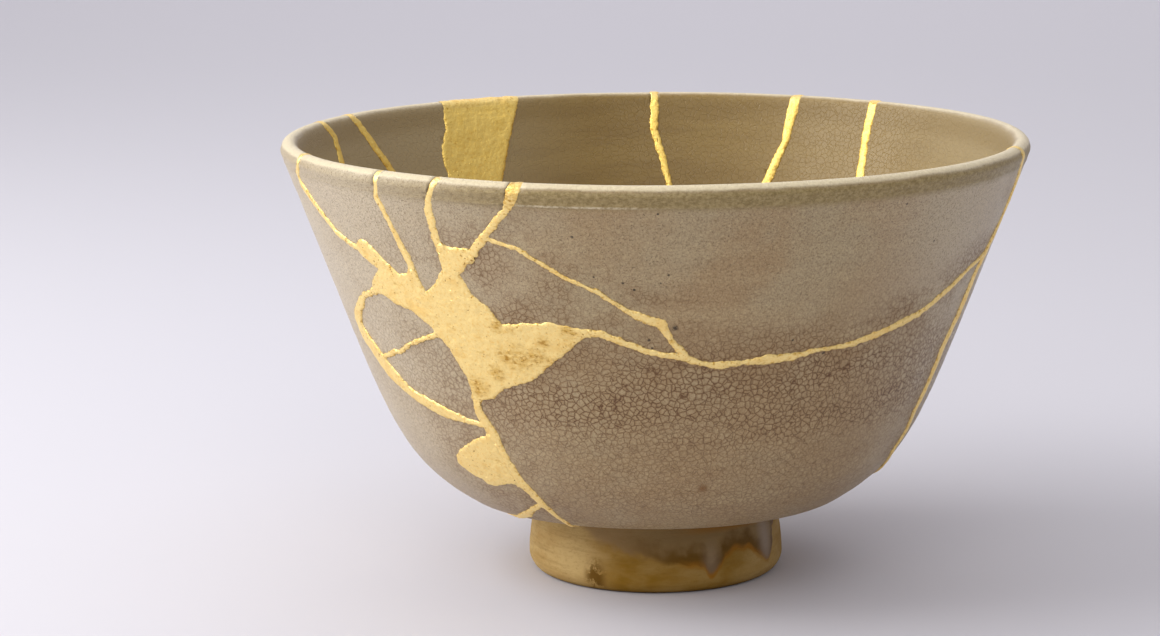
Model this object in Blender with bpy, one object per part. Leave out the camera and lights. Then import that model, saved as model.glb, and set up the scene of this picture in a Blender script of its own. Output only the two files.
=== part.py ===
"""A tea bowl that broke and was mended with gold lacquer.

Sherds, fills and seams are separate solids, and every joint goes right through the wall.
Metres, +Z up. The origin is the middle of the foot's underside, and -Y is the front.
"""

import bisect
import math

import bmesh
import bpy
from mathutils import Vector
from mathutils.geometry import delaunay_2d_cdt, interpolate_bezier

# The thrown bowl
BOWL_HEIGHT = 0.0742
RIM_RADIUS = 0.0625
LIP_THICKNESS = 0.0030
BASE_THICKNESS = 0.0052
WALL_ANGLE = math.radians(69)      # how steep the wall is at the lip
WALL_CURVE_LENGTH = 0.0474         # how far down the wall stays nearly straight
HIP_RADIUS = 0.0325
HIP_RISE = 0.0028                  # how much higher the hip is than the foot's top edge
HIP_ANGLE = math.radians(32)
HIP_CURVE_LENGTH = 0.0149

# The turned foot
FOOT_HEIGHT = 0.0113
FOOT_TOP_RADIUS = 0.0205
FOOT_RADIUS = 0.0218
FOOT_EDGE_ROUND = 0.0026
FOOT_RING_WIDTH = 0.0056
FOOT_INNER_BEVEL = 0.0005
FOOT_SWELL = 2                     # how early the foot widens below its waist
RECESS_DEPTH = 0.0055
FLOOR_THICKNESS = 0.0070
WELL_DISH = 1.6                    # 1 makes the floor of the well a cone, more makes it flatter

# The mend
SEAM_WIDTH_UNIT = 0.001            # the widths of the seams below are in this
GOLD_STANDS_PROUD = 0.0002
CLEARANCE = 0.0003                 # between a sherd and the gold, and between a fill and a seam

# How finely the surfaces are faceted
COLUMNS = 60
UNDER_ROWS = 2
WALL_ROWS = 8
LIP_ROWS = 3
CROWD_WALL_ROWS = 1.25             # above 1 the wall's rows stand closer at the hip
FOOT_ROWS = (0.30, 0.65)           # shares of the way down the foot's side
FOOT_EDGE_TURNS = (0, 30, 60, 90)
WELL_ROWS = (0.62, 0.30)           # shares of the well's radius
UNDER_STEPS = 20
WALL_STEPS = 120
LONGEST_EDGE = 0.006
CLEAR_OF_OUTLINE = 0.0012          # grid points nearer than this to an outline are left out
SMOOTH_UNDER = math.radians(35)
ON_THE_LINE = 1e-6                 # how near a share counts as the pattern's lower edge

LIP_RADIUS = LIP_THICKNESS / 2

# The crack pattern is a free form. A point is its angle in degrees, from the front round towards
# +X, and how far up the wall it is in percent. In a seam, the third number is the width.
# Past 100 percent a seam leaves over the lip.

SEAMS = {
    "left hairline": [
        (-67, 102, 2.0), (-66.3, 97.6, 1.4), (-68.5, 95.2, 1.8), (-68, 92.8, 1.8), (-65.4, 89.7, 1.6),
        (-59.7, 84, 1.4), (-55.2, 82, 1.1), (-53, 82, 1.0)],
    "second from left": [
        (-43.4, 102, 2.0), (-43.6, 96.9, 1.4), (-44.2, 94.4, 1.6), (-42.8, 88, 1.4), (-41.2, 80.4, 1.9),
        (-41.3, 77, 1.8)],
    "third from left": [
        (-32, 102, 2.2), (-32.7, 97.9, 1.4), (-33.8, 95.2, 1.6), (-34.3, 92.8, 1.9), (-34.3, 86.5, 1.8),
        (-33.7, 84, 1.8)],
    "front rim": [
        (-19.6, 102, 2.4), (-19.8, 98.5, 2.4), (-20.6, 95.8, 2.2), (-21.5, 94.1, 1.2), (-25.3, 88.7, 1.5),
        (-28.3, 84.3, 1.9), (-29.3, 82.5, 1.9)],
    "front upper branch": [
        (-26, 88.2, 0.9), (-22.8, 86.8, 1.0), (-20.7, 86.1, 1.0), (-18.8, 84.5, 0.9), (-13.8, 80.3, 0.9),
        (-9, 77.6, 1.0), (-4.2, 73.3, 0.9), (-2.6, 72.3, 1.7), (1, 70.7, 2.0), (2.6, 67, 1.1),
        (5.8, 62.6, 1.6)],
    "long front crack": [
        (-11.8, 68.4, 1.3), (-8.9, 68.3, 1.5), (-0.8, 64.3, 1.1), (4.2, 63.2, 1.4), (9.1, 61.4, 1.2),
        (11.2, 61.1, 1.6), (15.2, 61.6, 1.0), (19, 61.9, 1.9), (23.6, 62, 1.6), (28, 63, 1.0),
        (34.9, 63.3, 1.2), (43.5, 65.5, 1.6), (51.1, 67.8, 1.5), (64.7, 75, 1.2), (71, 76.8, 1.2)],
    "right edge and round the back": [
        (72.5, 102, 2.0), (72.6, 97.3, 2.2), (75.6, 90.2, 2.2), (75.2, 83.2, 2.4), (72.6, 78, 2.6),
        (70.4, 73.1, 2.6), (69.7, 63.6, 2.6), (67.6, 56.8, 2.4), (68, 48.1, 2.2), (67, 42, 2.0),
        (68.3, 37.2, 1.8), (67.5, 32.4, 1.6), (73, 25.5, 1.6), (85, 20, 1.7), (101, 16.5, 1.6),
        (123, 14, 1.8), (147, 16, 1.6), (168, 12, 1.7), (192, 11, 1.7), (215, 15, 1.8), (239, 11.5, 1.6),
        (262, 13, 1.5), (287, 10.5, 1.6), (306, 12.5, 1.6), (317, 15.2, 1.6), (322.9, 18.3, 2.0),
        (327, 21.3, 1.3), (332.5, 25, 1.0)],
    "left loop": [
        (-52.6, 72.6, 1.2), (-58.2, 70.5, 1.3), (-64.7, 65.2, 2.4), (-66.5, 62.8, 3.6), (-66.3, 60.4, 4.0),
        (-60, 53.6, 4.0), (-53.9, 49.4, 2.1), (-46, 46.9, 2.5), (-38, 45.4, 1.2), (-33.4, 45, 1.4)],
    "inside the loop": [
        (-62.5, 55.4, 1.1), (-57.8, 57.1, 1.0), (-54, 58.8, 1.1), (-52.6, 58.8, 1.0), (-48, 61.6, 1.0),
        (-38.4, 65.6, 1.0)],
    "down to the foot": [
        (-35, 53, 1.2), (-35.1, 48, 2.0), (-33.4, 43.6, 2.5), (-32.4, 37.1, 2.3), (-31, 32.5, 2.2),
        (-28.9, 28.4, 2.0), (-27.3, 23, 1.4), (-25.4, 16.5, 1.1), (-24.2, 12.6, 0.9)],
    "back left outer": [
        (-106.8, 102, 2.2), (-107.2, 97.6, 2.2), (-108.9, 94.8, 2.0), (-108, 89.1, 2.0), (-105, 72, 1.8),
        (-107, 55, 1.7), (-101, 38, 1.7), (-99, 25, 1.6), (-98, 12, 1.6)],
    "back left inner": [
        (-116.7, 102, 2.4), (-117.3, 97.3, 2.2), (-118.2, 95.9, 2.0), (-123.3, 84.3, 1.8),
        (-128, 68, 1.7), (-124, 54, 1.7), (-112, 42, 1.6), (-101, 33, 1.6)],
    "below the back fill": [
        (-143.4, 60, 2.4), (-143, 48, 1.8), (-146, 36, 1.7), (-144, 25, 1.7), (-145.5, 14, 1.7)],
    "back right": [
        (154, 102, 2.4), (154.4, 95.2, 2.4), (155, 87.5, 1.7), (157.8, 77, 2.0), (156, 65, 1.8),
        (150, 52, 1.8), (148, 34, 1.7), (146.5, 15, 1.7)],
    "back far right": [
        (138.8, 102, 2.4), (138.2, 88.5, 1.9), (137.4, 80.5, 2.2), (140, 64, 1.8), (150, 49, 1.8)],
}

# The middle of this seam is where the flat pattern meets itself. It ends on a column of the foot.
BACK_SEAM = [
    (180, 102, 1.8), (180, 89.6, 1.7), (177, 76.5, 1.5), (178.5, 62, 1.6), (184, 48, 1.6),
    (188, 33, 1.6), (191, 20, 1.6), (192, 11, 1.5)]
TAIL_TO_THE_FOOT = (192, 0)

FILLS = {
    "fill_front": [
        (-55.2, 82), (-52.2, 84.1), (-50.8, 84.1), (-44.6, 77.7), (-40.4, 79.2), (-39.5, 74.7),
        (-37.1, 76.7), (-34.8, 80.3), (-34.8, 82.9), (-33.9, 85.6), (-29.3, 85.4), (-28.2, 83.6),
        (-31.2, 79.3), (-29.7, 75), (-27.6, 73), (-25.6, 69.3), (-17.5, 70.5), (-10.8, 69.2),
        (-10.7, 67.8), (-21.8, 56.8), (-28, 54.3), (-30.5, 52), (-34.4, 50.7), (-35.6, 51.8),
        (-35.8, 55.9), (-38.1, 62.3), (-40.1, 65.9), (-44.6, 69.6), (-48.2, 70.4), (-51.2, 71.9),
        (-54.5, 72), (-53, 75.1), (-50, 77.9), (-53.3, 79.9)],
    "fill_lower": [
        (-34.4, 42.8), (-36.8, 42.3), (-40.6, 40.1), (-44.5, 37.8), (-46.8, 35.8), (-47.4, 34.3),
        (-46.6, 32.6), (-43.5, 30.5), (-42, 30.3), (-41.2, 28.9), (-38.8, 28.8), (-33.3, 30.4),
        (-31.6, 30.2), (-32.2, 34), (-33.2, 38.5), (-33.6, 41)],
    "fill_back": [
        (-139.6, 102), (-139.7, 97.6), (-139.1, 92), (-137.3, 88.5), (-136.8, 85.8), (-137.2, 79),
        (-140.5, 68), (-143.4, 59), (-146.5, 68), (-149.2, 78.7), (-155.4, 97.9), (-155.5, 102)],
}

# A point inside each sherd and each length of seam, which gives it its name
MARKERS = {
    "sherd_base": (20, 30),
    "sherd_front_rim": (25, 80),
    "sherd_front_triangle": (-12, 74),
    "sherd_rim_a": (-54, 92),
    "sherd_rim_b": (-39, 90),
    "sherd_rim_c": (-27.5, 94),
    "sherd_loop_upper": (-53, 65),
    "sherd_loop_lower": (-46, 53),
    "sherd_left": (-85, 50),
    "sherd_left_blade": (-114, 70),
    "sherd_back_left": (-132, 50),
    "sherd_back": (-163, 50),
    "sherd_back_right": (166, 50),
    "sherd_back_wedge": (147, 80),
    "sherd_right": (105, 55),
    "seam_rim_a": (-65.4, 89.7),
    "seam_rim_b": (-42.8, 88),
    "seam_rim_c": (-34.3, 88),
    "seam_network": (35.5, 63.4),
}


def clear_scene():
    for thing in list(bpy.data.objects):
        bpy.data.objects.remove(thing, do_unlink=True)


def material(name, colour, roughness, metallic):
    made = bpy.data.materials.new(name)
    made.use_nodes = True
    shader = made.node_tree.nodes["Principled BSDF"]
    shader.inputs["Base Color"].default_value = (*colour, 1)
    shader.inputs["Roughness"].default_value = roughness
    shader.inputs["Metallic"].default_value = metallic
    return made


def glazed_stoneware():
    return material("glazed_stoneware", (0.29, 0.22, 0.15), 0.35, 0)


def gold_lacquer():
    return material("gold_lacquer", (0.80, 0.58, 0.24), 0.38, 1)


# The turned outline

def direction(angle):
    return Vector((math.cos(angle), math.sin(angle)))


def outer_line():
    """The wall's outer side as (radius, height), from the foot's top edge to where the lip's round begins."""
    foot_top = Vector((FOOT_TOP_RADIUS, FOOT_HEIGHT))
    hip = Vector((HIP_RADIUS, FOOT_HEIGHT + HIP_RISE))
    lip_side = LIP_RADIUS * Vector((1 - math.sin(WALL_ANGLE), 1 + math.cos(WALL_ANGLE)))
    top = Vector((RIM_RADIUS, BOWL_HEIGHT)) - lip_side
    hip_handle = hip + HIP_CURVE_LENGTH * direction(HIP_ANGLE)
    top_handle = top - WALL_CURVE_LENGTH * direction(WALL_ANGLE)
    under = [foot_top.lerp(hip, i / UNDER_STEPS) for i in range(UNDER_STEPS)]
    wall = interpolate_bezier(hip, hip_handle, top_handle, top, WALL_STEPS)
    return under + [Vector(p[:2]) for p in wall]


def distances(line):
    total = [0.0]
    for a, b in zip(line, line[1:]):
        total.append(total[-1] + (b - a).length)
    return total


LINE = outer_line()
RUN = distances(LINE)
WALL_LENGTH = RUN[-1]
FULL_LENGTH = WALL_LENGTH + LIP_RADIUS * math.pi / 2
HIP_SHARE = (Vector((HIP_RADIUS, HIP_RISE)) - Vector((FOOT_TOP_RADIUS, 0))).length / FULL_LENGTH
LIP_SHARE = WALL_LENGTH / FULL_LENGTH
STEADY = 0.008                     # the wall's direction is taken over this much of it either way


def point_at(distance):
    distance = min(max(distance, 0.0), WALL_LENGTH)
    i = min(max(bisect.bisect_left(RUN, distance), 1), len(RUN) - 1)
    return LINE[i - 1].lerp(LINE[i], (distance - RUN[i - 1]) / (RUN[i] - RUN[i - 1]))


def tangent_at(distance):
    return (point_at(distance + STEADY) - point_at(distance - STEADY)).normalized()


def thickness_at(distance):
    thinning = (1 - distance / WALL_LENGTH) ** 2
    return LIP_THICKNESS + (BASE_THICKNESS - LIP_THICKNESS) * thinning


def section(share, side, proud):
    """(radius, height) at a share of the way up the wall, on its outer (side 1) or inner side (-1)."""
    distance = share * FULL_LENGTH
    if distance <= WALL_LENGTH:
        along = tangent_at(distance)
        outward = Vector((along.y, -along.x))
        depth = -proud if side > 0 else thickness_at(distance) + proud
        return point_at(distance) - outward * depth
    along = tangent_at(WALL_LENGTH)
    outward = Vector((along.y, -along.x))
    turn = min((distance - WALL_LENGTH) / LIP_RADIUS, math.pi / 2)
    middle = point_at(WALL_LENGTH) - outward * LIP_RADIUS
    return middle + (LIP_RADIUS + proud) * (side * math.cos(turn) * outward + math.sin(turn) * along)


def spot(angle, radius_height):
    """The place in space of a (radius, height), turned by an angle in degrees from the front."""
    turn = math.radians(angle)
    radius, height = radius_height
    return Vector((radius * math.sin(turn), -radius * math.cos(turn), height))


# The flat pattern: x is the angle and y the share of the way up, both stretched to metres

FLAT_WIDTH = math.radians(1) * RIM_RADIUS * 0.75     # one degree, at the wall's usual radius


def flat(angle, share):
    return Vector((angle * FLAT_WIDTH, share * FULL_LENGTH))


def unflat(point):
    return point.x / FLAT_WIDTH, point.y / FULL_LENGTH


def local_radius(share):
    return section(min(max(share, 0.0), 1.0), 1, 0).x


def sidestep(angle, share, along, across, metres):
    """A point moved square to the line (along, across) by so many metres on the outer surface."""
    radius = local_radius(share)
    square = Vector((-across, along)).normalized() * metres
    return angle + math.degrees(square.x / radius), share + square.y / FULL_LENGTH


def lead(before, after):
    """The direction from one point of the pattern to another, in metres on the outer surface."""
    radius = local_radius((before[1] + after[1]) / 2)
    return math.radians(after[0] - before[0]) * radius, (after[1] - before[1]) * FULL_LENGTH


def shares(rows):
    return [(row[0], row[1] / 100, *row[2:]) for row in rows]


def stroke_outline(rows, spare):
    """The outline of a seam, both sides of its middle line, with spare metres all round."""
    rows = shares(rows)
    left, right = [], []
    for i, (angle, share, width) in enumerate(rows):
        before, after = rows[max(i - 1, 0)], rows[min(i + 1, len(rows) - 1)]
        along, across = lead(before, after)
        half = width * SEAM_WIDTH_UNIT / 2 + spare
        end = Vector((along, across)).normalized() * spare * ((i == len(rows) - 1) - (i == 0))
        angle += math.degrees(end.x / local_radius(share))
        share += end.y / FULL_LENGTH
        left.append(sidestep(angle, share, along, across, half))
        right.append(sidestep(angle, share, along, across, -half))
    return left + right[::-1]


FOLDED_BACK = 0.3                  # an outline that turns back on itself is moved along one edge alone
SHARPEST_MITRE = 0.45              # keeps a narrow corner from reaching far out


def fill_outline(rows, spare):
    """The outline of a fill, with spare metres all round."""
    points = shares(rows)
    turns = sum(a[0] * b[1] - b[0] * a[1] for a, b in zip(points, points[1:] + points[:1]))
    outward = -1 if turns > 0 else 1
    moved = []
    for i, (angle, share) in enumerate(points):
        into = Vector(lead(points[i - 1], points[i])).normalized()
        out = Vector(lead(points[i], points[(i + 1) % len(points)])).normalized()
        bend = (into + out).normalized() if (into + out).length > FOLDED_BACK else out
        reach = spare / max(bend.dot(into), SHARPEST_MITRE)
        moved.append(sidestep(angle, share, bend.x, bend.y, outward * reach))
    return moved


def closed_path(outline):
    """A closed outline as flat points, with none of its edges longer than LONGEST_EDGE."""
    path = []
    for a, b in zip(outline, outline[1:] + outline[:1]):
        start, stop = flat(*a), flat(*b)
        steps = max(1, math.ceil((stop - start).length / LONGEST_EDGE))
        path += [start.lerp(stop, i / steps) for i in range(steps)]
    return path


def turned_copies(path):
    """The path where it is, and a whole turn to either side, so that the pattern closes round the bowl."""
    turn = Vector((360 * FLAT_WIDTH, 0))
    return [path, [p - turn for p in path], [p + turn for p in path]]


def outlines():
    """Every outline as (kind, flat path), where kind is a fill's name, "seam" or either with " gap"."""
    found = []
    for gap, spare in (("", 0), (" gap", CLEARANCE)):
        for name, rows in FILLS.items():
            path = closed_path(fill_outline(rows, spare))
            found += [(name + gap, copy) for copy in turned_copies(path)]
        for rows in [*SEAMS.values(), BACK_SEAM]:
            path = closed_path(stroke_outline(rows, spare))
            found += [("seam" + gap, copy) for copy in turned_copies(path)]
    return found


def reach_of(path):
    """The lowest and highest x and y of a path."""
    across = [p.x for p in path]
    up = [p.y for p in path]
    return min(across), max(across), min(up), max(up)


def winds_round(point, path, reach):
    """Whether a closed path, with its reach, goes round a point."""
    if not (reach[0] < point.x < reach[1] and reach[2] < point.y < reach[3]):
        return False
    turns = 0
    for a, b in zip(path, path[1:] + path[:1]):
        if (a.y <= point.y) == (b.y <= point.y):
            continue
        side = (b.x - a.x) * (point.y - a.y) - (b.y - a.y) * (point.x - a.x)
        if b.y > a.y and side > 0:
            turns += 1
        elif b.y <= a.y and side < 0:
            turns -= 1
    return turns != 0


def row_shares():
    """The shares at which the grid has rows: the underside, the wall and the lip's round."""
    under = [HIP_SHARE * i / UNDER_ROWS for i in range(UNDER_ROWS)]
    rise = LIP_SHARE - HIP_SHARE
    wall = [HIP_SHARE + rise * (i / WALL_ROWS) ** CROWD_WALL_ROWS for i in range(WALL_ROWS + 1)]
    lip = [LIP_SHARE + (1 - LIP_SHARE) * i / LIP_ROWS for i in range(1, LIP_ROWS + 1)]
    return under + wall, lip


def edge_of_pattern():
    """The middle of the back seam, where the flat pattern is cut, from the foot up to the lip's top."""
    line = [flat(angle, share) for angle, share, _ in shares(BACK_SEAM)]
    top = line[1].lerp(line[0], (flat(0, 1).y - line[1].y) / (line[0].y - line[1].y))
    line = [top] + line[1:] + [flat(TAIL_TO_THE_FOOT[0], TAIL_TO_THE_FOOT[1] / 100)]
    path = []
    for a, b in zip(line, line[1:]):
        steps = max(1, math.ceil((b - a).length / LONGEST_EDGE))
        path += [a.lerp(b, i / steps) for i in range(steps)]
    return (path + [line[-1]])[::-1]


def at_height(path, y):
    """Where a rising path is at a height."""
    for a, b in zip(path, path[1:]):
        if a.y <= y <= b.y + 1e-9:
            return a.lerp(b, min(1, (y - a.y) / (b.y - a.y)))
    return path[-1]


def near_outline(point, cells, reach):
    key = (int(point.x // reach), int(point.y // reach))
    for i in (-1, 0, 1):
        for j in (-1, 0, 1):
            for other in cells.get((key[0] + i, key[1] + j), ()):
                if (other - point).length < reach:
                    return True
    return False


def cells_of(paths, reach):
    """The outlines as close points, sorted into square cells."""
    cells = {}
    for path in paths:
        for a, b in zip(path, path[1:] + path[:1]):
            steps = max(1, math.ceil((b - a).length / (reach / 2)))
            for i in range(steps):
                point = a.lerp(b, i / steps)
                cells.setdefault((int(point.x // reach), int(point.y // reach)), []).append(point)
    return cells


class Pattern:
    """Points and edges that the triangulation starts from."""

    def __init__(self):
        self.points = []
        self.edges = []

    def path(self, points, closed):
        first = len(self.points)
        self.points += points
        count = len(points)
        self.edges += [(first + i, first + (i + 1) % count) for i in range(count if closed else count - 1)]


def triangulate(found):
    """The flat pattern cut along every outline, as points and triangles."""
    pattern = Pattern()
    turn = Vector((360 * FLAT_WIDTH, 0))
    right = edge_of_pattern()
    left = [p - turn for p in right]
    cells = cells_of([path for _, path in found] + [left[:-1] + left[::-1], right[:-1] + right[::-1]],
                     CLEAR_OF_OUTLINE)
    for _, path in found:
        pattern.path(path, True)
    pattern.path(left, False)
    pattern.path(right, False)
    free, lines = row_shares()
    for share in free + lines:
        y = flat(0, share).y
        low, high = at_height(left, y), at_height(right, y)
        row = [flat(360 * i / COLUMNS, share) for i in range(-COLUMNS, COLUMNS)]
        row = [p for p in row if low.x + CLEAR_OF_OUTLINE < p.x < high.x - CLEAR_OF_OUTLINE]
        row = [p for p in row if share == 0 or not near_outline(p, cells, CLEAR_OF_OUTLINE)]
        if share == 0 or share in lines or share == LIP_SHARE:
            pattern.path([low] + row + [high], False)
        else:
            pattern.points += row
    points, _, faces, _, _, _ = delaunay_2d_cdt(pattern.points, pattern.edges, [], 0, 1e-8, False)
    kept = []
    top = flat(0, 1).y
    for face in faces:
        middle = sum((points[i] for i in face), Vector((0, 0))) / len(face)
        inside = 0 < middle.y < top
        if inside and at_height(left, middle.y).x < middle.x < at_height(right, middle.y).x:
            kept.append((face, middle))
    return points, kept


def kind_of(middle, found):
    """Which fill a point of the pattern is in, or "seam", "sherd" or "" for the gaps between them."""
    covers = {kind for kind, path, reach in found if winds_round(middle, path, reach)}
    for name in FILLS:
        if name in covers:
            return name
        if name + " gap" in covers:
            return ""
    if "seam" in covers:
        return "seam"
    return "" if "seam gap" in covers else "sherd"


def wrapped_sheet():
    """The whole pattern on the bowl's outer side, each face with the number of its kind."""
    found = outlines()
    points, faces = triangulate(found)
    found = [(kind, path, reach_of(path)) for kind, path in found]
    sheet = bmesh.new()
    angle_layer = sheet.verts.layers.float.new("angle")
    share_layer = sheet.verts.layers.float.new("share")
    kind_layer = sheet.faces.layers.int.new("kind")
    kinds = ["", "seam", "sherd", *FILLS]
    made = {}
    for face, middle in faces:
        kind = kind_of(middle, found)
        if not kind:
            continue
        for i in face:
            if i not in made:
                angle, share = unflat(points[i])
                made[i] = sheet.verts.new(spot(angle, section(share, 1, 0)))
                made[i][angle_layer] = angle
                made[i][share_layer] = min(max(share, 0.0), 1.0)
        sheet.faces.new([made[i] for i in face])[kind_layer] = kinds.index(kind)
    bmesh.ops.remove_doubles(sheet, verts=sheet.verts, dist=1e-6)
    return sheet, kinds


def regions(sheet, kinds):
    """The sheet's faces in connected groups of one kind."""
    kind_layer = sheet.faces.layers.int["kind"]
    waiting = set(sheet.faces)
    found = []
    for start in list(sheet.faces):
        if start not in waiting:
            continue
        waiting.discard(start)
        group, edge = [], [start]
        while edge:
            face = edge.pop()
            group.append(face)
            for other in {f for e in face.edges for f in e.link_faces}:
                if other in waiting and other[kind_layer] == start[kind_layer]:
                    waiting.discard(other)
                    edge.append(other)
        found.append((kinds[start[kind_layer]], group))
    return found


def distance_to(group, place):
    return min((face.calc_center_median() - place).length for face in group)


def named_regions(sheet, kinds):
    """A name for each fill, and for the sherd or seam nearest to each marker."""
    found = regions(sheet, kinds)
    named = {name: max((g for k, g in found if k == name), key=len) for name in FILLS}
    for name, (angle, percent) in MARKERS.items():
        place = spot(angle, section(percent / 100, 1, 0))
        groups = [g for k, g in found if k == name.split("_")[0]]
        named[name] = min(groups, key=lambda group: distance_to(group, place))
    return named


def solid_from(sheet, group, proud):
    """A group of faces of the sheet, extruded through the wall into a closed body."""
    solid = bmesh.new()
    angle_layer = solid.verts.layers.float.new("angle")
    share_layer = solid.verts.layers.float.new("share")
    old_angle = sheet.verts.layers.float["angle"]
    old_share = sheet.verts.layers.float["share"]
    made = {}
    for face in group:
        for vert in face.verts:
            if vert not in made:
                made[vert] = solid.verts.new()
                made[vert][angle_layer] = vert[old_angle]
                made[vert][share_layer] = vert[old_share]
        solid.faces.new([made[v] for v in face.verts])
    bmesh.ops.recalc_face_normals(solid, faces=solid.faces)
    outer = set(made.values())
    bmesh.ops.extrude_face_region(solid, geom=solid.faces[:])
    for vert in solid.verts:
        side = 1 if vert in outer else -1
        vert.co = spot(vert[angle_layer], section(vert[share_layer], side, proud))
    return solid


def ring_edges(solid, verts):
    verts = set(verts)
    return [e for e in solid.edges if e.verts[0] in verts and e.verts[1] in verts]


def turn_on(solid, ring, profile):
    """Carries an open ring of edges on along a profile of (radius, height), and caps it at the end."""
    angle_layer = solid.verts.layers.float["angle"]
    for place in profile:
        made = bmesh.ops.extrude_edge_only(solid, edges=ring)["geom"]
        verts = [g for g in made if isinstance(g, bmesh.types.BMVert)]
        for vert in verts:
            vert.co = spot(vert[angle_layer], place)
        ring = ring_edges(solid, verts)
    bmesh.ops.contextual_create(solid, geom=ring)


def foot_profile():
    """From the foot's top edge down its outer side, under the ring and up to the recess."""
    profile = []
    for share in FOOT_ROWS:
        height = FOOT_HEIGHT + (FOOT_EDGE_ROUND - FOOT_HEIGHT) * share
        swell = 1 - (1 - share) ** FOOT_SWELL
        profile.append((FOOT_TOP_RADIUS + (FOOT_RADIUS - FOOT_TOP_RADIUS) * swell, height))
    for turn in FOOT_EDGE_TURNS:
        out = math.cos(math.radians(turn))
        down = math.sin(math.radians(turn))
        radius = FOOT_RADIUS - FOOT_EDGE_ROUND * (1 - out)
        profile.append((radius, FOOT_EDGE_ROUND * (1 - down)))
    inner = FOOT_RADIUS - FOOT_RING_WIDTH
    profile.append((inner + FOOT_INNER_BEVEL, 0))
    profile.append((inner, FOOT_INNER_BEVEL))
    profile.append((inner, RECESS_DEPTH))
    return profile


def well_profile():
    """From the wall's inner side in to the middle of the bowl's floor."""
    edge = section(0, -1, 0)
    floor = RECESS_DEPTH + FLOOR_THICKNESS
    return [(edge.x * s, floor + (edge.y - floor) * s ** WELL_DISH) for s in WELL_ROWS]


def add_foot(solid):
    """Closes the base sherd below with the foot and the well, in place of its cut edge."""
    share_layer = solid.verts.layers.float["share"]
    cut = [f for f in solid.faces if all(v[share_layer] < ON_THE_LINE for v in f.verts)]
    bmesh.ops.delete(solid, geom=cut, context="FACES_ONLY")
    bottom = [v for v in solid.verts if v[share_layer] < ON_THE_LINE]
    outer = [v for v in bottom if v.co.z < FOOT_HEIGHT + BASE_THICKNESS / 2]
    inner = [v for v in bottom if v not in outer]
    across = [e for e in ring_edges(solid, bottom) if (e.verts[0] in outer) != (e.verts[1] in outer)]
    bmesh.ops.delete(solid, geom=across, context="EDGES")
    turn_on(solid, ring_edges(solid, outer), foot_profile())
    turn_on(solid, ring_edges(solid, inner), well_profile())


def finish(solid, name, look):
    bmesh.ops.remove_doubles(solid, verts=solid.verts, dist=1e-7)
    bmesh.ops.triangulate(solid, faces=[f for f in solid.faces if len(f.verts) > 3])
    bmesh.ops.recalc_face_normals(solid, faces=solid.faces)
    mesh = bpy.data.meshes.new(name)
    solid.to_mesh(mesh)
    solid.free()
    mesh.shade_smooth()
    mesh.set_sharp_from_angle(angle=SMOOTH_UNDER)
    mesh.materials.append(look)
    piece = bpy.data.objects.new(name, mesh)
    bpy.context.scene.collection.objects.link(piece)
    return piece


def build():
    clear_scene()
    stoneware = glazed_stoneware()
    gold = gold_lacquer()
    sheet, kinds = wrapped_sheet()
    for name, group in named_regions(sheet, kinds).items():
        is_gold = not name.startswith("sherd")
        solid = solid_from(sheet, group, GOLD_STANDS_PROUD if is_gold else 0)
        if name == "sherd_base":
            add_foot(solid)
        finish(solid, name, gold if is_gold else stoneware)
    sheet.free()


build()
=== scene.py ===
import math

import bmesh
import bpy
from mathutils import Matrix, Vector, kdtree, noise
from mathutils.geometry import interpolate_bezier


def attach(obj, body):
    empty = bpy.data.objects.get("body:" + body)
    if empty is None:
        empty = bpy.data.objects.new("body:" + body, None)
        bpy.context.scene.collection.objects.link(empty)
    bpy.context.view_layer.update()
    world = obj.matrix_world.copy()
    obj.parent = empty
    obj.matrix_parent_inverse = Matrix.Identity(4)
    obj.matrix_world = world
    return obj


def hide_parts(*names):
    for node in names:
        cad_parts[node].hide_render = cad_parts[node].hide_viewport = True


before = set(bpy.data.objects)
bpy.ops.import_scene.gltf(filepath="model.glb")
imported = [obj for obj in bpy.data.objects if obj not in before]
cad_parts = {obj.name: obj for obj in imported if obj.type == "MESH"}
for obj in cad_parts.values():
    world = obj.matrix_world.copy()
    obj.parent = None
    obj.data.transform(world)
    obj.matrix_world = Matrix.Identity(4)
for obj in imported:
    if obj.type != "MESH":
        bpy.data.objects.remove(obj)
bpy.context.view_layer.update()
mm = 0.001
mergeWithin = 2e-6      # points this near are one
mergeCut = 1e-7         # the same after a cut, whose small edges stay

bowl = {
    "height": 0.0742, "rimRadius": 0.0625, "lip": 0.0030, "base": 0.0052,
    "wallAngle": 69, "wallReach": 0.0474, "hipRadius": 0.0325, "hipRise": 0.0028,
    "hipAngle": 32, "hipReach": 0.0149, "steady": 0.008,
    "outsideStep": 0.0006, "fineBelowLip": 0.006, "fineStep": 0.0002, "insideStep": 0.0010,
    "curvePoints": 160, "lipSteps": 16, "wellSteps": 20, "wellCurve": 1.6, "columns": 320, "sectors": 16,
}
foot = {
    "height": 0.0113, "topRadius": 0.0205, "radius": 0.0218, "edgeRound": 0.0026,
    "ring": 0.0056, "bevel": 0.0005, "recess": 0.0055, "floor": 0.0070,
    "step": 0.0005, "sideSteps": 15,
}


def heading(degrees):
    return Vector((math.cos(math.radians(degrees)), math.sin(math.radians(degrees))))


def evenly(line, step):
    # the same line with its points so far apart
    run = [0.0]
    for a, b in zip(line, line[1:]):
        run.append(run[-1] + (b - a).length)
    count = max(1, round(run[-1] / step))
    even, k = [], 0
    for i in range(count + 1):
        want = run[-1] * i / count
        while k < len(run) - 2 and run[k + 1] < want:
            k += 1
        even.append(line[k].lerp(line[k + 1], min(1, (want - run[k]) / (run[k + 1] - run[k]))))
    return even


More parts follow.
